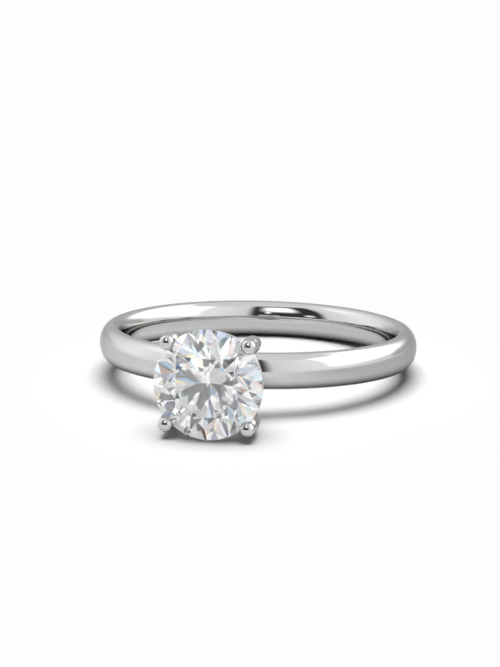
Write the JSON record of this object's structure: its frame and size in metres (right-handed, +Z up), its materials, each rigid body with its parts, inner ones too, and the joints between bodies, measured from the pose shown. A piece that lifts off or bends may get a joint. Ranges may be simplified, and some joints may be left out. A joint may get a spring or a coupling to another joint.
{
  "type": "engagement ring",
  "caption": "Solitaire engagement ring with a round brilliant stone held by prongs in an open basket head on a plain comfort-fit shank, lying on its side.",
  "frame": {"origin": "middle of the ring's box in plan, on the surface the ring lies on", "axes": "+Z up from that surface, -Y from the finger hole towards the stone, +X across the ring; the finger's axis leans back from +Z by 5.4 degrees towards +Y"},
  "size_m": [0.0194, 0.0246, 0.0065],
  "materials": {
    "white_metal": "mirror-polished white gold",
    "diamond": "polished facets, clear and colourless"
  },
  "bodies": {
    "root": {"shank": "white_metal", "head_peg": "white_metal", "base_rail": "white_metal", "gallery_rail": "white_metal", "prong_upper_right": "white_metal", "prong_upper_left": "white_metal", "prong_lower_left": "white_metal", "prong_lower_right": "white_metal", "stone": "diamond"}
  },
  "joints": []
}
